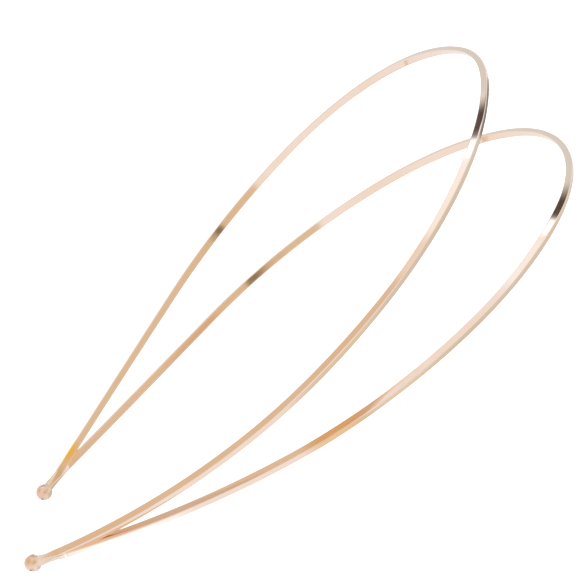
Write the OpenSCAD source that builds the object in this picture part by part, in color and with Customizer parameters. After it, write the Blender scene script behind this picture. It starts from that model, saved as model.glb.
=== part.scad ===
// Double headband of square spring wire, in millimetres.
// Two bands open like a V from their joined ends, and each end carries a small ball.
// It lies on its side as it would by itself: the lower band is flat on the surface and the upper one stands up.
// X runs from the left end to the right one, Y from the ends to the crowns, Z up.
// The origin is under the middle of the whole object.

/* [Wire] */
// Side of the square wire
wire = 1.85; // [1.2:0.05:2.4]
// Lean of the wire's outer face out of the plane of its band, in degrees
lean = 28; // [0:0.5:40]

/* [Bands] */
// Height of a band, from the line where the two planes meet to the crown
band_h = 150; // [140:1:160]
// Angle between the two bands, in degrees
spread = 12; // [8:0.5:20]
// Radii of the lower band's bends: crown, shoulder and arm
lower_radii = [47, 63, 83]; // [30:1:110]
// Sweeps of the lower band's bends, each way from the middle of the crown, in degrees
lower_sweeps = [39, 34.5, 37.5]; // [10:0.5:80]
// Radii of the upper band's bends: crown, shoulder and arm
upper_radii = [39, 61, 88]; // [30:1:110]
// Sweeps of the upper band's bends, each way from the middle of the crown, in degrees
upper_sweeps = [16, 66.5, 30]; // [10:0.5:80]

/* [Ends] */
// Distance between the two places where the wires join
join_gap = 44; // [36:1:60]
// How far the left join lies towards the crowns from the line where the planes meet
left_join_in = 3; // [-5:0.1:8]
// How high the left join is above the lower band's plane
left_join_up = 2.7; // [0:0.1:8]
// How far the right join lies towards the crowns, less than nothing where its leg is the longer one
right_join_in = -5.9; // [-10:0.1:8]
// How high the right join is above the lower band's plane
right_join_up = 6.2; // [0:0.1:12]
// Length of the left stem, from the join to the middle of its ball
left_stem_l = 4.5; // [2.5:0.5:8]
// Length of the right stem, from the join to the middle of its ball
right_stem_l = 5; // [2.5:0.5:8]
// Width of a stem where the wires run into it
stem_d = 2.8; // [2.5:0.1:3.2]
// Width of a stem at its ball
neck_d = 2.2; // [1.8:0.1:2.4]
// Width of a ball
ball_d = 3.9; // [3.4:0.1:4.6]

/* [Hidden] */
$fn = 180;

// A band: its tilt, then the radii and the sweeps of an arm's bends from the crown down
TILT = 0;
RADII = 1;
SWEEPS = 2;
lower = [0, lower_radii, lower_sweeps];
upper = [spread, upper_radii, upper_sweeps];
// The stem reaches this far back over the joined wires
stem_back = 3;
// Two bends meet inside a short straight splice: its length, and how much wider it is than the wire
splice_l = 1.2;
splice_step = 0.02;
// Length of wire that a bend leaves out at each of its ends, inside the splice
splice_room = 0.2;
// Half the width of the leaning wire, across its band and along the plane alike
reach = wire / 2 * (cos(lean) + sin(lean));

// Direction of a band's wire, in degrees from the crown's, after the first n bends
function heading(band, n) = n == 0 ? 0 : heading(band, n - 1) + band[SWEEPS][n - 1];

// Place of the wire's middle, in the plane of its band, after the first n bends
function place(band, n) = n == 0 ? [0, band_h, 0] : place(band, n - 1) + band[RADII][n - 1] * [
    sin(heading(band, n)) - sin(heading(band, n - 1)),
    cos(heading(band, n)) - cos(heading(band, n - 1)),
    0,
];

// The last bend of an arm aims at its join. Place and directions where it starts, in the right arm's own plane:
function foot(band) = place(band, len(band[RADII]));
function foot_a(band) = heading(band, len(band[RADII]));
function along(band) = [cos(foot_a(band)), -sin(foot_a(band)), 0];
function outer(band) = [sin(foot_a(band)), cos(foot_a(band)), 0];

// A point or direction in the plane of a band, from the same one in the lower band's frame
function tilted(p, tilt) = [
    p[0],
    p[1] * cos(tilt) + p[2] * sin(tilt),
    p[2] * cos(tilt) - p[1] * sin(tilt),
];

// The straight way from the arm to its join: outwards, up and along
function chord(band, join) =
    let (d = tilted(join, band[TILT]) - foot(band))
    [d * outer(band), d[2], d * along(band)];
function chord_a(c) = atan2(norm([c[0], c[1]]), c[2]);
function leg_r(c) = norm(c) / (2 * sin(chord_a(c)));
// Turn of the bending plane before the last bend
function leg_turn(c) = atan2(-c[1], -c[0]);

// Direction of the wire at its join, back in the lower band's frame
function end_dir(band, join) =
    let (c = chord(band, join))
    let (side = [c[0], c[1]] / norm([c[0], c[1]]) * sin(2 * chord_a(c)))
    tilted(along(band) * cos(2 * chord_a(c)) + outer(band) * side[0] + [0, 0, side[1]], -band[TILT]);

// Direction of a stem: the middle way between its two wires
function stem_dir(join) =
    let (both = end_dir(lower, join) + end_dir(upper, join))
    both / norm(both);

// Joins and balls, each as if on the right: the left ones are mirrored
left_join = [join_gap / 2, left_join_in, left_join_up];
right_join = [join_gap / 2, right_join_in, right_join_up];
left_ball = left_join + left_stem_l * stem_dir(left_join);
right_ball = right_join + right_stem_l * stem_dir(right_join);

// How far the object reaches along Y, in the lower band's frame
back_y = min(left_ball[1], right_ball[1]) - ball_d / 2;
front_y = band_h + reach;

module section(side, turned) {
    rotate(turned)
        square(side, center = true);
}

// One bend of the wire: it starts at the origin along Z and bends towards -X
module bend(r, a, turned) {
    cut = splice_room / r * 180 / PI;
    translate([-r, 0, 0])
        rotate([90, 0, 0])
            rotate([0, 0, cut])
                rotate_extrude(angle = a - 2 * cut)
                    translate([r, 0])
                        mirror([0, 1])
                            section(wire, turned);
}

module splice(turned) {
    linear_extrude(height = splice_l, center = true)
        section(wire + splice_step, turned);
}

// Puts its children where a bend ends
module after_bend(r, a) {
    translate([-r * (1 - cos(a)), 0, r * sin(a)])
        rotate([0, -a, 0])
            children();
}

// The bends of a band's arm from the nth one on, then the leg that aims at the join
module arm_from(band, n, c) {
    if (n < len(band[RADII])) {
        bend(band[RADII][n], band[SWEEPS][n], -lean);
        after_bend(band[RADII][n], band[SWEEPS][n]) {
            splice(-lean);
            arm_from(band, n + 1, c);
        }
    } else {
        rotate([0, 0, leg_turn(c)])
            bend(leg_r(c), 2 * chord_a(c), -lean - leg_turn(c));
    }
}

// Puts its children at the crown of a band, with Z along X and X away from the ends
module at_crown(band) {
    rotate([band[TILT], 0, 0])
        translate([0, band_h, 0])
            rotate([90, 0, 90])
                children();
}

module whole_band(band) {
    at_crown(band) {
        splice(-lean);
        arm_from(band, 0, chord(band, right_join));
    }
    mirror([1, 0, 0])
        at_crown(band)
            arm_from(band, 0, chord(band, left_join));
}

module lower_band() {
    whole_band(lower);
}

module upper_band() {
    whole_band(upper);
}

// Ground and plated joint of two wires, with the ball at its end
module end_piece(join, stem_l) {
    dir = stem_dir(join);
    translate(join)
        rotate([0, acos(dir[2]), atan2(dir[1], dir[0])]) {
            translate([0, 0, -stem_back])
                cylinder(h = stem_back + stem_l, d1 = stem_d, d2 = neck_d);
            translate([0, 0, stem_l])
                sphere(d = ball_d);
        }
}

module left_end() {
    mirror([1, 0, 0])
        end_piece(left_join, left_stem_l);
}

module right_end() {
    end_piece(right_join, right_stem_l);
}

module double_headband() {
    color([0.88, 0.73, 0.62])
        translate([0, -(back_y + front_y) / 2, reach])
            union() {
                lower_band();
                upper_band();
                left_end();
                right_end();
            }
}

double_headband();
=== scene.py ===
"""A double headband of square wire with a polished rose gold plate, lying on its side in a pale studio."""

import bpy
import numpy as np
from bpy.props import FloatProperty, FloatVectorProperty, PointerProperty
from bpy.types import Operator, Panel, PropertyGroup
from mathutils import Matrix, Vector


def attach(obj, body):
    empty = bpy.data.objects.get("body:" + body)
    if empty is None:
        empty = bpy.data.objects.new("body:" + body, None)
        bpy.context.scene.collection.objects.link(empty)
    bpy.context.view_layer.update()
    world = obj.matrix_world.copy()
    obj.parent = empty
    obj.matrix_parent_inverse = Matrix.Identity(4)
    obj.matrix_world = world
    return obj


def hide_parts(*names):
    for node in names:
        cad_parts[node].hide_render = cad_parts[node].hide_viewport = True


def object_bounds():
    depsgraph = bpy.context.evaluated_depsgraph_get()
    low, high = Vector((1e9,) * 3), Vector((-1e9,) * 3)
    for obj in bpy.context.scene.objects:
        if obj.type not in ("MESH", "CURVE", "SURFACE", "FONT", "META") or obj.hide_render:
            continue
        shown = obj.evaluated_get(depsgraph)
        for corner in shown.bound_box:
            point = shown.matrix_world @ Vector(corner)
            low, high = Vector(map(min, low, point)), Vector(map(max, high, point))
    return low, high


bl_info = {
    "name": "Double headband",
    "version": (1, 0, 0),
    "blender": (4, 5, 0),
    "location": "3D View > Sidebar > Headband",
    "description": "Builds a plated double headband of square wire and the studio that it is shown in",
    "category": "Add Mesh",
}

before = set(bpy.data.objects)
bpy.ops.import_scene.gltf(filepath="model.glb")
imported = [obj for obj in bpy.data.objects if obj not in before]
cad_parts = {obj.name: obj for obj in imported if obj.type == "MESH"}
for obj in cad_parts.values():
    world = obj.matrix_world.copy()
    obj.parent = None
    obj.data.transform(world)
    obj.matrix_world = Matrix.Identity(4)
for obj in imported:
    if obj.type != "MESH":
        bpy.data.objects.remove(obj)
CAD_BOX = [[float(x) for x in corner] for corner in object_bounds()]

CAD_NODE = "double_headband"
UV_NAME = "wire"
MM = 0.001

# Rows of a frame that is carried along the wire
PLACE, ALONG, OUTER, UPPER = range(4)

# Each band: the part of the spread that it is raised by, and where its bends are kept
BANDS = {
    "lower_band": {"raised": 0, "radii": "lower_radii", "sweeps": "lower_sweeps"},
    "upper_band": {"raised": 1, "radii": "upper_radii", "sweeps": "upper_sweeps"},
}
# Side of the wire in mm, at shares of a band's length from its left join
SIDES = {
    "lower_band": (
        (0, 1.8), (0.07, 1.88), (0.19, 1.78), (0.34, 1.92), (0.465, 1.42), (0.52, 1.7), (0.6, 1.9), (1, 1.9),
    ),
    "upper_band": (
        (0, 1.8), (0.07, 1.72), (0.24, 1.88), (0.31, 1.76), (0.36, 1.82), (0.465, 1.42), (0.52, 1.64),
        (0.6, 1.92), (0.68, 1.8), (0.77, 1.92), (1, 1.92),
    ),
}
# Lean of the wire's outer face out of the band's plane in degrees, also at shares of the length
LEANS = {
    "lower_band": (
        (0, 19), (0.37, 19), (0.462, 2), (0.57, 33), (0.6, 33), (0.65, 37), (0.74, 37), (0.8, 29), (1, 29),
    ),
    "upper_band": ((0, 19), (0.37, 19), (0.462, 2), (0.57, 33), (0.71, 33), (0.79, 29), (1, 29)),
}
# Points along each bend of the wire
STEPS_PER_BEND = 72
# Points round each rounded edge, of the wire and of the end pieces
STEPS_PER_EDGE = 5
ROUND_STEPS_PER_EDGE = 9
# Points beside each rounded edge keep the flat sides flat: how far they are from it, and the largest share
# of the way to the middle of the side
EDGE_SUPPORT = 0.03 * MM
SUPPORT_SHARE = 0.3
# The wires end this far before their join, inside the ground joint
WIRE_END = 3.0 * MM

# A joint starts this far before the join, sunk into the wires. It is out of them a little further on, and
# then stands proud by a hair, so that the two surfaces never coincide.
JOINT_START = 5.2 * MM
JOINT_OUT = 3.8 * MM
JOINT_SUNK = 0.3 * MM
JOINT_PROUD = 0.004 * MM
# Power of the curve by which a joint comes out of the wires
JOINT_RISE = 4
# Lengths past the join between which the quick and the slow side of a joint are ground away
QUICK_SIDE = (-3.1 * MM, -1.2 * MM)
SLOW_SIDE = (-3.1 * MM, 2.4 * MM)
# Share of the half side that the edges' radius grows to where a joint is ground round
ROUNDEST = 0.97
# Each end: its join, its stem, the side that is ground away quickly (upper, lower), how much the neck
# widens towards the ball, and how sharply it meets the ball
ENDS = {
    "left_end": {
        "join": "left_join", "stem": "left_stem", "quick": (1, 0), "flare": 0.05 * MM, "crease": 6.0,
    },
    "right_end": {
        "join": "right_join", "stem": "right_stem", "quick": (0, 1), "flare": 0.3 * MM, "crease": 2.6,
    },
}
# Rings along a joint and over a ball, and the angle over the ball of the last ring, just before the pole
JOINT_STATIONS = 40
BALL_STATIONS = 36
BALL_SWEEP = 0.995 * np.pi

# Scales of the plate's noises: slow changes of tint, handled patches, and fine lines (along the wire and
# round it)
TINT_SCALE = 45.0
HANDLED_SCALE = 260.0
LINES_SCALE = (60.0, 9000.0, 1.0)
# Values of each noise between which its effect sets in
TINT_RANGE = (0.42, 0.68)
HANDLED_RANGE = (0.5, 0.78)
LINES_RANGE = (0.3, 0.7)
# How far the plate's colour goes over into the warm one
MOST_WARM = 0.5
# Shares of the lines and of the handled patches in the plate's relief
LINES_RELIEF = 0.4
HANDLED_RELIEF = 0.6
# Along an end piece, the lengths between which the wire's polish goes over into the ground finish
GROUND = (1.0 * MM, 6.5 * MM)
# Painted glints and reflections, tinted into the plate's colour round fixed places: a painted reflection of
# one wire in the other near the left end, another on the lower band's right arm, and painted tan reflections
# of the studio on the joints and balls. Each: the place and its radius in mm, how strongly and the colour
PAINTED_GLINTS = (
    ((-26.0, -60.4, 8.2), 5.6, 1.4, (1.0, 0.58, 0.09)),
    ((52.3, -1.5, 1.3), 12, 0.9, (0.80, 0.44, 0.17)),
    ((-21.5, -66.5, 3.6), 5.5, 1.1, (0.80, 0.56, 0.38)),
    ((-18.7, -70.8, 4.8), 3.2, 1.1, (0.80, 0.52, 0.36)),
    ((22.6, -75.4, 8.6), 4.5, 0.6, (0.84, 0.60, 0.42)),
    ((20.9, -79.8, 9.7), 2.8, 1.0, (0.76, 0.47, 0.26)),
)
# Share of its radius up to which a painted glint is whole, and the share of it that the fine lines take away
# at most
PAINTED_GLINT_CORE = 0.3
PAINTED_GLINT_LINES = 0.5

# What the pale studio shows to the metal. Angles are in degrees: azimuth from +X, and height above the
# horizon. Each card: middle, half size, slope of its middle line, softness of its border and colour.
CARD_COLUMNS = ("azimuth", "height", "half_width", "half_height", "slope", "soft", "colour")
CARDS = {
    "warm wall": (35, 16, 45, 14, 0.0, 1.5, (0.80, 0.70, 0.54)),
    "camera": (13.2, 16.6, 7.5, 1.4, -0.26, 1.0, (0.20, 0.16, 0.11)),
    "back wall": (168, 9, 30, 31, 0.0, 4, (0.76, 0.83, 0.88)),
    "warm ceiling": (258, 66, 38, 24, 0.0, 12, (0.80, 0.69, 0.545)),
    "pale ceiling": (136, 66, 40, 18, 0.0, 5, (1.07, 1.2, 1.33)),
    "zenith": (180, 88, 179, 5.2, 0.0, 1.5, (0.95, 0.90, 0.83)),
    "dark panel": (138, 44.2, 26, 9.5, 0.4, 6.5, (0.10, 0.085, 0.08)),
    "window": (138, 54.5, 24, 3.5, 0.5, 1.2, (1.5, 1.75, 2.1)),
    "floor beyond": (100, -58, 72, 30, 0.0, 6, (0.73, 0.76, 0.74)),
    "floor under": (100, -89, 179, 9, 0.0, 2.5, (0.80, 0.81, 0.72)),
    "dark strip": (148.5, -34.5, 6.5, 6.5, 0.7, 1.5, (0.27, 0.26, 0.25)),
    "low window": (251, -59.8, 4, 2.2, 0.0, 1.2, (1.4, 1.6, 1.9)),
    "skirting": (233, -40, 61, 4, 0.0, 1, (0.30, 0.21, 0.13)),
}
# Colour of the studio between the cards
PALE = (0.99, 1.03, 1.10)

# The floor's radius, the corners of its rim, its glow and the scale of the paper's grain
FLOOR_RADIUS = 8.0
FLOOR_CORNERS = 96
FLOOR_GLOW = 0.8
PAPER_GRAIN = 900.0


class HeadbandSizes(PropertyGroup):
    """Sizes of the wire, the bands and their ends."""

    reach: FloatProperty(
        name="Reach",
        description="How far the wire reaches below its middle",
        default=1.251 * MM,
        unit="LENGTH",
    )
    edge: FloatProperty(
        name="Edge", description="Radius of the wire's edges", default=0.22 * MM, unit="LENGTH"
    )
    height: FloatProperty(
        name="Height",
        description="From the line where the bands meet to a crown",
        default=150 * MM,
        unit="LENGTH",
    )
    spread: FloatProperty(
        name="Spread", description="Angle between the two bands", default=np.radians(12), subtype="ANGLE"
    )
    lower_radii: FloatVectorProperty(
        name="Lower radii",
        description="Crown, shoulder and arm",
        default=(47 * MM, 63 * MM, 83 * MM),
        unit="LENGTH",
    )
    lower_sweeps: FloatVectorProperty(
        name="Lower sweeps",
        description="Crown, shoulder and arm",
        default=[float(a) for a in np.radians([39, 34.5, 37.5])],
        subtype="EULER",
    )
    upper_radii: FloatVectorProperty(
        name="Upper radii",
        description="Crown, shoulder and arm",
        default=(39 * MM, 61 * MM, 88 * MM),
        unit="LENGTH",
    )
    upper_sweeps: FloatVectorProperty(
        name="Upper sweeps",
        description="Crown, shoulder and arm",
        default=[float(a) for a in np.radians([16, 66.5, 30])],
        subtype="EULER",
    )
    left_join: FloatVectorProperty(
        name="Left join",
        description="Where the left legs join",
        default=(-22 * MM, 3 * MM, 2.7 * MM),
        unit="LENGTH",
    )
    right_join: FloatVectorProperty(
        name="Right join",
        description="Where the right legs join",
        default=(22 * MM, -5.9 * MM, 6.2 * MM),
        unit="LENGTH",
    )
    left_stem: FloatProperty(
        name="Left stem", description="From the left join to its ball", default=4.5 * MM, unit="LENGTH"
    )
    right_stem: FloatProperty(
        name="Right stem", description="From the right join to its ball", default=5 * MM, unit="LENGTH"
    )
    ball: FloatProperty(name="Ball", description="Width of a ball", default=3.9 * MM, unit="LENGTH")
    neck: FloatProperty(
        name="Neck", description="Width of a stem at its ball", default=2.2 * MM, unit="LENGTH"
    )


class HeadbandPlate(PropertyGroup):
    """Finish of the plated wire."""

    colour: FloatVectorProperty(
        name="Plate", description="Colour of the polished plate", default=(0.90, 0.70, 0.56), subtype="COLOR"
    )
    warm: FloatVectorProperty(
        name="Warm plate",
        description="Colour where the plate is yellower",
        default=(0.88, 0.64, 0.46),
        subtype="COLOR",
    )
    gloss: FloatProperty(name="Roughness", description="Roughness of the polish", default=0.07)
    end_gloss: FloatProperty(
        name="Roughness of the ends", description="Roughness of joints and balls", default=0.3
    )
    wear: FloatProperty(
        name="Worn roughness", description="Roughness where the wire is handled", default=0.16
    )


class HeadbandStudio(PropertyGroup):
    """The camera and the pale studio."""

    floor: FloatVectorProperty(
        name="Floor", description="Colour of the floor", default=(0.9, 0.9, 0.9), subtype="COLOR"
    )
    azimuth: FloatProperty(
        name="Azimuth",
        description="Direction to the camera, from +X",
        default=np.radians(2.75),
        subtype="ANGLE",
    )
    elevation: FloatProperty(
        name="Elevation", description="Height of the camera", default=np.radians(23.03), subtype="ANGLE"
    )
    roll: FloatProperty(
        name="Roll",
        description="Turn of the camera's top to its right",
        default=np.radians(38.59),
        subtype="ANGLE",
    )
    distance: FloatProperty(
        name="Distance", description="Camera to what it looks at", default=2.1846, unit="LENGTH"
    )
    lens: FloatProperty(name="Lens", description="Focal length in millimetres", default=566.4)
    aim: FloatVectorProperty(
        name="Aim",
        description="What the camera looks at",
        default=(0.23 * MM, 7.96 * MM, 15.16 * MM),
        unit="LENGTH",
    )


class Socket:
    """A shader socket, wrapped so that expressions on it add Math nodes."""

    def __init__(self, tree, socket):
        self.tree = tree
        self.socket = socket

    def math(self, operation, *others):
        """This value put through a Math node with the others."""
        return self.tree.math(operation, self, *others)

    def __add__(self, other):
        return self.math("ADD", other)

    def __sub__(self, other):
        return self.math("SUBTRACT", other)

    def __rsub__(self, other):
        return self.tree.math("SUBTRACT", other, self)

    def __mul__(self, other):
        return self.math("MULTIPLY", other)

    __radd__ = __add__
    __rmul__ = __mul__

    def smooth(self, low, high):
        """0 below low, 1 above high and an even S curve between them."""
        values = {"Value": self, "From Min": low, "From Max": high}
        return self.tree.node("ShaderNodeMapRange", {"interpolation_type": "SMOOTHSTEP"}, values)

    def within(self, half, soft):
        """1 where this is nearer to 0 than half and 0 beyond it, with a border of soft on either side."""
        return 1 - self.math("ABSOLUTE").smooth(half - soft, half + soft)


class Tree:
    """A node tree that is filled by expressions."""

    def __init__(self, owner):
        owner.use_nodes = True
        self.nodes = owner.node_tree.nodes
        self.links = owner.node_tree.links
        self.nodes.clear()

    def node(self, kind, settings, values, output=0):
        """Adds a node: its settings first, then its sockets' values or links. Returns the chosen output."""
        made = self.nodes.new(kind)
        for name, value in settings.items():
            setattr(made, name, value)
        for name, value in values.items():
            socket = made.inputs[name]
            if isinstance(value, Socket):
                self.links.new(value.socket, socket)
            else:
                socket.default_value = value
        return Socket(self, made.outputs[output])

    def out(self, kind, shader):
        """Ends the tree with an output node."""
        self.links.new(shader.socket, self.nodes.new(kind).inputs["Surface"])

    def math(self, operation, *values):
        """A Math node on the values, in their order."""
        return self.node("ShaderNodeMath", {"operation": operation}, dict(enumerate(values)))

    def mix(self, factor, first, second):
        """The first colour, turning into the second as the factor goes from 0 to 1.

        A Mix node's sockets share their names, so those for colours go by their numbers.
        """
        return self.node("ShaderNodeMix", {"data_type": "RGBA"}, {0: factor, 6: first, 7: second}, output=2)

    def noise(self, place, scale, detail):
        """Smooth noise from 0 to 1."""
        return self.node("ShaderNodeTexNoise", {}, {"Vector": place, "Scale": scale, "Detail": detail})

    def parts(self, vector):
        """The three components of a vector."""
        made = self.nodes.new("ShaderNodeSeparateXYZ")
        self.links.new(vector.socket, made.inputs[0])
        return [Socket(self, out) for out in made.outputs]


def unit(vectors):
    """Vectors divided by their lengths."""
    return vectors / np.linalg.norm(vectors, axis=-1, keepdims=True)


def flip_x(points):
    """Points or directions mirrored in the plane X = 0."""
    return np.array(points) * np.array([-1.0, 1, 1])


def run_length(points):
    """Length of the way along the points, from the first one to each."""
    return np.concatenate([[0], np.cumsum(np.linalg.norm(np.diff(points, axis=0), axis=1))])


def rgba(colour):
    """A colour of three numbers as four."""
    return (*colour[:3], 1.0)


def smoothstep(x, low, high):
    """0 below low, 1 above high and 3 t^2 - 2 t^3 between them."""
    t = np.clip((x - low) / (high - low), 0, 1)
    return t * t * (3 - 2 * t)


def eased(knots, share):
    """Values at shares of a length: each knot's value goes over into the next one's by an even S curve."""
    value = np.full(np.shape(share), float(knots[0][1]))
    for (start, before), (end, after) in zip(knots, knots[1:]):
        value += (after - before) * smoothstep(share, start, end)
    return value


def rotated(vectors, axis, angles):
    """Rodrigues' formula: v cos a + (axis x v) sin a + axis (axis . v)(1 - cos a), one row for each angle."""
    turn = np.asarray(angles)[:, None]
    cross = np.cross(axis, vectors)
    along = np.dot(axis, vectors) * np.asarray(axis)
    return vectors * np.cos(turn) + cross * np.sin(turn) + along * (1 - np.cos(turn))


def bend(start, radius, sweep, turn, steps):
    """Frames along one bend of the wire, as rows of place, direction, outer side and upper side.

    The wire turns towards minus the outer side, after the bending plane has turned by the given angle. A
    frame at angle a is the first one turned by a about the bend's axis, and its place is
    start + radius (sin a direction + (1 - cos a) inwards).
    """
    place, along, outer, upper = start
    inwards = -(np.cos(turn) * outer + np.sin(turn) * upper)
    axis = np.cross(along, inwards)
    angles = np.linspace(0, sweep, steps)
    places = place + radius * (np.sin(angles)[:, None] * along + (1 - np.cos(angles))[:, None] * inwards)
    return np.stack([places] + [rotated(side, axis, angles) for side in (along, outer, upper)], axis=1)


def last_bend(start, join):
    """Radius, sweep and turn of the bend that carries the wire from its frame to the join.

    With the chord c at an angle b to the wire, the radius is |c| / (2 sin b) and the sweep is 2 b.
    """
    place, along, outer, upper = start
    chord = np.asarray(join) - place
    out, up, ahead = chord @ outer, chord @ upper, chord @ along
    chord_angle = np.arctan2(np.hypot(out, up), ahead)
    radius = np.linalg.norm(chord) / (2 * np.sin(chord_angle))
    return radius, 2 * chord_angle, np.arctan2(-up, -out)


def half_band(sizes, name, join):
    """Frames of the right half of a band, from its crown to the join."""
    band = BANDS[name]
    tilt = band["raised"] * sizes.spread
    up = np.array([0, -np.sin(tilt), np.cos(tilt)])
    away = np.array([0, np.cos(tilt), np.sin(tilt)])
    start = np.stack([sizes.height * away, np.array([1.0, 0, 0]), away, up])
    stretches = []
    for radius, sweep in zip(getattr(sizes, band["radii"]), getattr(sizes, band["sweeps"]), strict=True):
        stretches.append(bend(start, radius, sweep, 0, STEPS_PER_BEND)[:-1])
        start = bend(start, radius, sweep, 0, 2)[-1]
    stretches.append(bend(start, *last_bend(start, join), STEPS_PER_BEND))
    return np.concatenate(stretches)


def mirrored(frames):
    """The same frames on the other side of the plane X = 0, run the other way."""
    flipped = flip_x(frames[::-1])
    flipped[:, ALONG] *= -1
    return flipped


def rest_shift(sizes):
    """What brings the lower band's plane onto the surface and the middle of the CAD box over the origin.

    The wire reaches as far beyond its middle under the lower band as it does beyond the crown along Y.
    """
    return np.array([0, CAD_BOX[1][1] - sizes.height - sizes.reach, CAD_BOX[0][2] + sizes.reach])


def band_frames(sizes, name):
    """Frames of a whole band, from the left join over the crown to the right join."""
    left = mirrored(half_band(sizes, name, flip_x(sizes.left_join)))
    right = half_band(sizes, name, np.array(sizes.right_join))
    return np.concatenate([left[:-1], right])


def wires_before(sizes, join, before):
    """Frames of the two wires at the given lengths before the join: the upper wire's and the lower one's."""
    found = []
    for name in reversed(BANDS):
        frames = half_band(sizes, name, join)[::-1]
        run = run_length(frames[:, PLACE])
        columns = frames.reshape(len(frames), -1).T
        at_lengths = np.stack([np.interp(before, run, column) for column in columns], axis=-1)
        found.append(at_lengths.reshape(-1, *frames.shape[1:]))
    return found


def rounded_square(half, radius, steps):
    """Outlines of squares with round corners, one for each half side, with one radius or one for each.

    A corner is its centre plus radius (cos a, sin a), and a point beside each of its ends keeps the flat
    sides flat.
    """
    half, radius = np.broadcast_arrays(half, radius)
    room = np.minimum(EDGE_SUPPORT, SUPPORT_SHARE * (half - radius))[:, None]
    angles = np.linspace(0, np.pi / 2, steps)
    rows = []
    for quarter, signs in enumerate(((1, 1), (-1, 1), (-1, -1), (1, -1))):
        turn = angles + quarter * np.pi / 2
        centre = (half - radius)[:, None, None] * np.array(signs)
        corner = centre + np.stack([np.cos(turn), np.sin(turn)], axis=-1) * radius[:, None, None]
        before = corner[:, 0] + room * np.array([np.sin(turn[0]), -np.cos(turn[0])])
        after = corner[:, -1] + room * np.array([-np.sin(turn[-1]), np.cos(turn[-1])])
        rows += [before[:, None], corner, after[:, None]]
    return np.concatenate(rows, axis=1)


def leaned(outlines, lean):
    """Outlines of (outer, upper) points whose outer side is turned down, by one angle or one for each."""
    cos, sin = np.cos(lean)[..., None], np.sin(lean)[..., None]
    out, up = outlines[..., 0], outlines[..., 1]
    return np.stack([out * cos + up * sin, up * cos - out * sin], axis=-1)


def placed(outlines, places, sides):
    """Grid of points: each outline's place plus its points' two sizes along its outer and upper sides."""
    return places[:, None] + np.einsum("nki,nij->nkj", outlines, sides)


def tube_mesh(name, grid):
    """A mesh from a grid whose rows are rings, with its ends closed by a flat fan round their middle.

    The UV map holds metres: along the piece, and round the section of its middle ring.
    """
    rings, around = grid.shape[:2]
    points = grid.reshape(-1, 3)
    ring, spoke = np.meshgrid(np.arange(rings - 1), np.arange(around), indexing="ij")
    beside = (spoke + 1) % around
    corners = (ring, spoke), (ring, beside), (ring + 1, beside), (ring + 1, spoke)
    faces = np.stack([row * around + column for row, column in corners], axis=-1).reshape(-1, 4).tolist()
    along = run_length(grid.mean(axis=1))
    section = grid[rings // 2]
    girth = run_length(np.append(section, section[:1], axis=0))
    corners = (ring, spoke), (ring, spoke + 1), (ring + 1, spoke + 1), (ring + 1, spoke)
    uv = [np.stack([np.stack([along[row], girth[column]], -1) for row, column in corners], 2).reshape(-1, 2)]
    spokes = np.arange(around)
    for row, at, order in ((0, along[0], -1), (rings - 1, along[-1], 1)):
        middle = len(points)
        points = np.concatenate([points, grid[row].mean(axis=0)[None]])
        first = row * around + spokes
        second = row * around + (spokes + 1) % around
        faces += np.stack([first, second, np.full(around, middle)][::order], axis=-1).tolist()
        uv.append(np.tile([at, 0.0], (3 * around, 1)))
    mesh = bpy.data.meshes.new(name)
    mesh.from_pydata(points.tolist(), [], faces)
    layer = mesh.uv_layers.new(name=UV_NAME)
    layer.data.foreach_set("uv", np.concatenate(uv).astype(np.float32).ravel())
    mesh.polygons.foreach_set("use_smooth", np.arange(len(faces)) < len(faces) - 2 * around)
    mesh.update()
    mesh.validate()
    return mesh


def band_mesh(name, sizes):
    """A whole band: the rounded square section carried along its bends and cut off inside the end pieces."""
    frames = band_frames(sizes, name)
    run = run_length(frames[:, PLACE])
    kept = (run > WIRE_END) & (run < run[-1] - WIRE_END)
    share = run[kept] / run[-1]
    half = eased(SIDES[name], share) * MM / 2
    section = rounded_square(half, sizes.edge, STEPS_PER_EDGE)
    outlines = leaned(section, np.radians(eased(LEANS[name], share)))
    return tube_mesh(name, placed(outlines, frames[kept, PLACE], frames[kept, OUTER:]) + rest_shift(sizes))


def end_lengths(sizes, stem):
    """Lengths past the join at which an end piece has its rings: even ones up to the ball, then the ball's.

    The ball's are stem - ball cos a, at even angles a.
    """
    ball = sizes.ball / 2
    before = np.linspace(-JOINT_START, stem - ball, JOINT_STATIONS)[:-1]
    return np.concatenate([before, stem - ball * np.cos(np.linspace(0, BALL_SWEEP, BALL_STATIONS))])


def end_outlines(sizes, row, side, stem, z):
    """Outlines of an end piece at lengths z past the join, which grow round as the joint is ground.

    The joint comes out of the wires by a power of the way that is left, and goes over into the neck by an S
    curve. Near the ball the radius is (neck^n + ball^n)^(1/n), where ball is the radius of the sphere's own
    section and n tells how sharply they meet.
    """
    ball = sizes.ball / 2
    left_to_rise = np.clip((-JOINT_OUT - z) / (JOINT_START - JOINT_OUT), 0, 1)
    square = side / 2 + JOINT_PROUD - (JOINT_SUNK + JOINT_PROUD) * left_to_rise**JOINT_RISE
    neck = sizes.neck / 2 + row["flare"] * smoothstep(z, 0, stem - ball / 2)
    sphere = np.sqrt(np.clip(ball**2 - (z - stem) ** 2, 0, None))
    neck_left = neck * (1 - smoothstep(z, stem - ball / 2, stem + ball / 2))
    rounded = (neck_left ** row["crease"] + sphere ** row["crease"]) ** (1 / row["crease"])
    half = square + (rounded - square) * smoothstep(z, -WIRE_END, stem - ball)
    half = np.where(z > stem - ball, rounded, half)
    edge = sizes.edge + (ROUNDEST * half - sizes.edge) * smoothstep(z, *SLOW_SIDE)
    return rounded_square(half, edge, ROUND_STEPS_PER_EDGE)


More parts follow.
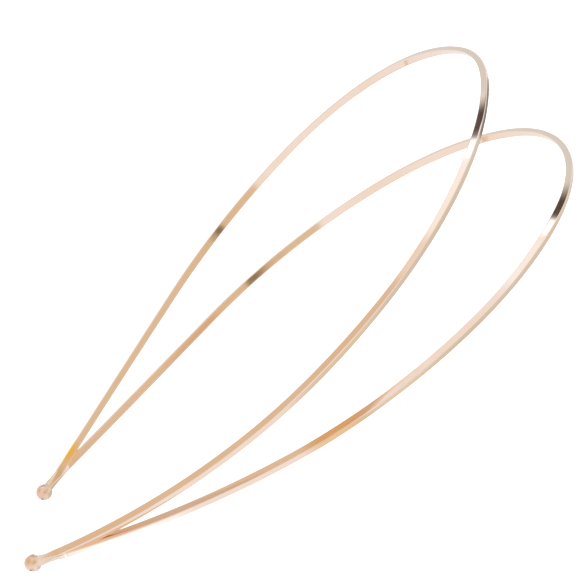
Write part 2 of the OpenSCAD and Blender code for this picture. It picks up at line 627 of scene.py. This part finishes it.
def end_mesh(name, sizes):
    """The ground joint of two wires, its neck and its ball, as one lofted surface.

    Its rings are the hull of the two wires' sections: the points that face up are set round the upper wire's
    middle, and those that face down round the lower wire's. Past the place where the wires end, both halves
    go over onto one middle line: each half's distance from it falls to nothing by an S curve.
    """
    row = ENDS[name]
    join = np.array(getattr(sizes, row["join"]))
    stem = getattr(sizes, row["stem"])
    left = join[0] < 0
    knot = 0 if left else -1
    side = SIDES["upper_band"][knot][1] * MM
    lean = np.radians(LEANS["lower_band"][knot][1])
    z = end_lengths(sizes, stem)
    outlines = leaned(end_outlines(sizes, row, side, stem, z), lean)
    # An outline starts with a point beside its first corner, whose first points the lean turns down
    first_up = 1 + int(np.ceil(lean / (np.pi / 2) * (ROUND_STEPS_PER_EDGE - 1)))
    facing_up, facing_down = np.split(np.roll(outlines, -first_up, axis=1), 2, axis=1)

    before = np.append(np.clip(-z, 0, None), (0, WIRE_END))
    wires = wires_before(sizes, flip_x(join) if left else join, before)
    middle = sum(wires) / 2
    at_join, at_wire_end = -2, -1
    along, upper = unit(middle[at_join, ALONG]), unit(middle[at_join, UPPER])
    upper = unit(upper - (upper @ along) * along)
    shared = np.stack([np.cross(upper, along), upper])
    line = middle[:at_join, PLACE] + np.clip(z, 0, None)[:, None] * along
    own = 1 - smoothstep(z, -WIRE_END, 0)[:, None, None]
    halves = []
    for wire, points, quick in zip(wires, (facing_up, facing_down), row["quick"], strict=True):
        apart = (wire - middle)[:, PLACE]
        left_apart = 1 - smoothstep(z, *(QUICK_SIDE if quick else SLOW_SIDE))[:, None]
        apart = np.where(z[:, None] < -WIRE_END, apart[:at_join], apart[at_wire_end] * left_apart)
        sides = unit(wire[:at_join, OUTER:] * own + shared * (1 - own))
        halves.append(placed(points, line + apart, sides))
    grid = np.concatenate(halves, axis=1)
    if left:
        grid = flip_x(grid[:, ::-1])
    return tube_mesh(name, grid + rest_shift(sizes))


def add_piece(name, mesh, material):
    """Puts a finished mesh in the scene as a piece that stands for the CAD solid."""
    old = bpy.data.objects.get(name)
    if old:
        bpy.data.objects.remove(old)
    piece = bpy.data.objects.new(name, mesh)
    piece.data.materials.append(material)
    bpy.context.scene.collection.objects.link(piece)
    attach(piece, "root")
    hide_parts(CAD_NODE)
    return piece


def plate_material(look, name, gloss):
    """Polished rose gold plate: slow changes of tint, painted glints and reflections at fixed places, fine
    lines along the wire and handled patches.

    The roughness goes over into the given one a short way along the piece.
    """
    material = bpy.data.materials.new(name)
    tree = Tree(material)
    place = tree.node("ShaderNodeTexCoord", {}, {}, output="Object")
    uv = tree.node("ShaderNodeUVMap", {"uv_map": UV_NAME}, {})
    lines_place = tree.node("ShaderNodeMapping", {}, {"Vector": uv, "Scale": LINES_SCALE})
    cloud = tree.noise(place, TINT_SCALE, detail=2.0)
    handled = tree.noise(place, HANDLED_SCALE, detail=4.0)
    lines = tree.noise(lines_place, scale=1.0, detail=3.0)
    colour = tree.mix(cloud.smooth(*TINT_RANGE) * MOST_WARM, rgba(look.colour), rgba(look.warm))
    streaks = lines.smooth(*LINES_RANGE) * PAINTED_GLINT_LINES + (1 - PAINTED_GLINT_LINES)
    # Painted reflections: round each fixed place the plate's colour is tinted towards a reflected colour
    for middle, radius, strength, painted_glint_colour in PAINTED_GLINTS:
        values = {0: place, 1: tuple(x * MM for x in middle)}
        away = tree.node("ShaderNodeVectorMath", {"operation": "DISTANCE"}, values, output="Value")
        near = 1 - away.smooth(PAINTED_GLINT_CORE * radius * MM, radius * MM)
        colour = tree.mix(near * streaks * strength, colour, rgba(painted_glint_colour))
    ground = tree.parts(uv)[0].smooth(*GROUND) * (gloss - look.gloss)
    rough = handled.smooth(*HANDLED_RANGE) * (look.wear - look.gloss) + ground + look.gloss
    height = lines * LINES_RELIEF + handled * HANDLED_RELIEF
    bump = tree.node("ShaderNodeBump", {}, {"Strength": 0.05, "Distance": 0.02 * MM, "Height": height})
    values = {"Base Color": colour, "Metallic": 1.0, "Roughness": rough, "Normal": bump}
    tree.out("ShaderNodeOutputMaterial", tree.node("ShaderNodeBsdfPrincipled", {}, values))
    return material


def studio_world():
    """Light from all round: pale, with the cards laid over it in order.

    A card's middle line rises by its slope, and its border fades by an S curve.
    """
    world = bpy.data.worlds.new("studio")
    bpy.context.scene.world = world
    tree = Tree(world)
    x, y, z = tree.parts(tree.node("ShaderNodeTexCoord", {}, {}, output="Generated"))
    azimuth = y.math("ARCTAN2", x)
    height = z.math("ARCSINE")
    colour = rgba(PALE)
    for values in CARDS.values():
        card = dict(zip(CARD_COLUMNS, values, strict=True))
        across = (azimuth - np.radians(card["azimuth"])).math("WRAP", np.pi, -np.pi)
        above = height - np.radians(card["height"]) - across * card["slope"]
        soft = np.radians(card["soft"])
        inside_width = across.within(np.radians(card["half_width"]), soft)
        inside_height = above.within(np.radians(card["half_height"]), soft)
        colour = tree.mix(inside_height * inside_width, colour, rgba(card["colour"]))
    shader = tree.node("ShaderNodeBackground", {}, {"Color": colour, "Strength": 1.0})
    tree.out("ShaderNodeOutputWorld", shader)


def paper_material(colour):
    """Matt paper that glows a little, so that the object throws no shadow on it."""
    material = bpy.data.materials.new("floor_paper")
    tree = Tree(material)
    place = tree.node("ShaderNodeTexCoord", {}, {}, output="Object")
    grain = tree.noise(place, PAPER_GRAIN, detail=2.0)
    bump = tree.node("ShaderNodeBump", {}, {"Strength": 0.02, "Distance": 0.1 * MM, "Height": grain})
    values = {"Base Color": rgba(colour), "Roughness": 0.9, "Specular IOR Level": 0.1, "Normal": bump}
    values |= {"Emission Color": rgba(colour), "Emission Strength": FLOOR_GLOW}
    tree.out("ShaderNodeOutputMaterial", tree.node("ShaderNodeBsdfPrincipled", {}, values))
    return material


def add_floor(colour):
    """A wide disc under the object that its metal doesn't mirror."""
    angles = np.linspace(0, 2 * np.pi, FLOOR_CORNERS, endpoint=False)
    rim = FLOOR_RADIUS * np.stack([np.cos(angles), np.sin(angles), 0 * angles], axis=-1)
    mesh = bpy.data.meshes.new("floor")
    mesh.from_pydata(rim.tolist(), [], [list(range(FLOOR_CORNERS))])
    floor = bpy.data.objects.new("floor", mesh)
    floor.data.materials.append(paper_material(colour))
    bpy.context.scene.collection.objects.link(floor)
    floor.visible_glossy = False


def add_camera(studio):
    """The photo's camera: it looks back along its own direction, turned about it by the roll."""
    azimuth, elevation = studio.azimuth, studio.elevation
    flat = np.cos(elevation)
    back = Vector((flat * np.cos(azimuth), flat * np.sin(azimuth), np.sin(elevation)))
    right = Vector((0, 0, 1)).cross(back).normalized()
    up = back.cross(right)
    turned_up = up * np.cos(studio.roll) + right * np.sin(studio.roll)
    turned_right = turned_up.cross(back)
    data = bpy.data.cameras.new("camera")
    data.sensor_width = 36.0
    data.lens = studio.lens
    data.clip_start = 0.05
    data.clip_end = 40.0
    camera = bpy.data.objects.new("camera", data)
    turned = Matrix((turned_right, turned_up, back)).transposed().to_4x4()
    camera.matrix_world = Matrix.Translation(Vector(studio.aim) + back * studio.distance) @ turned
    bpy.context.scene.collection.objects.link(camera)
    bpy.context.scene.camera = camera


class HEADBAND_OT_bands(Operator):
    """Makes the two bands"""

    bl_idname = "headband.bands"
    bl_label = "Bands"

    def execute(self, context):
        scene = context.scene
        look = scene.headband_plate
        material = plate_material(look, "rose_gold_plate", look.gloss)
        for name in BANDS:
            add_piece(name, band_mesh(name, scene.headband_sizes), material)
        return {"FINISHED"}


class HEADBAND_OT_ends(Operator):
    """Makes the two ground joints with their balls"""

    bl_idname = "headband.ends"
    bl_label = "Ends"

    def execute(self, context):
        scene = context.scene
        look = scene.headband_plate
        material = plate_material(look, "rose_gold_plate_ends", look.end_gloss)
        for name in ENDS:
            add_piece(name, end_mesh(name, scene.headband_sizes), material)
        return {"FINISHED"}


class HEADBAND_OT_stage(Operator):
    """Makes the floor, the studio's surroundings and the camera"""

    bl_idname = "headband.stage"
    bl_label = "Stage"

    def execute(self, context):
        studio = context.scene.headband_studio
        studio_world()
        add_floor(studio.floor)
        add_camera(studio)
        context.scene.view_settings.view_transform = "Standard"
        return {"FINISHED"}


class HEADBAND_PT_panel(Panel):
    """Lists the sizes, the looks and the steps that build the headband"""

    bl_idname = "HEADBAND_PT_panel"
    bl_label = "Double headband"
    bl_space_type = "VIEW_3D"
    bl_region_type = "UI"
    bl_category = "Headband"

    def draw(self, context):
        scene = context.scene
        for group in (scene.headband_sizes, scene.headband_plate, scene.headband_studio):
            box = self.layout.box()
            for name in group.__annotations__:
                box.prop(group, name)
        for step in OPERATORS:
            self.layout.operator(step.bl_idname)


GROUPS = {
    "headband_sizes": HeadbandSizes,
    "headband_plate": HeadbandPlate,
    "headband_studio": HeadbandStudio,
}
OPERATORS = (HEADBAND_OT_bands, HEADBAND_OT_ends, HEADBAND_OT_stage)


def register():
    """Adds the classes, and each group of values to the scene."""
    for made in (*GROUPS.values(), *OPERATORS, HEADBAND_PT_panel):
        bpy.utils.register_class(made)
    for name, group in GROUPS.items():
        setattr(bpy.types.Scene, name, PointerProperty(type=group))


def unregister():
    """Takes away what register added."""
    for name in GROUPS:
        delattr(bpy.types.Scene, name)
    for made in (HEADBAND_PT_panel, *reversed(OPERATORS), *reversed(GROUPS.values())):
        bpy.utils.unregister_class(made)


def main():
    """Builds everything."""
    register()
    bpy.ops.headband.bands()
    bpy.ops.headband.ends()
    bpy.ops.headband.stage()


if __name__ == "__main__":
    main()
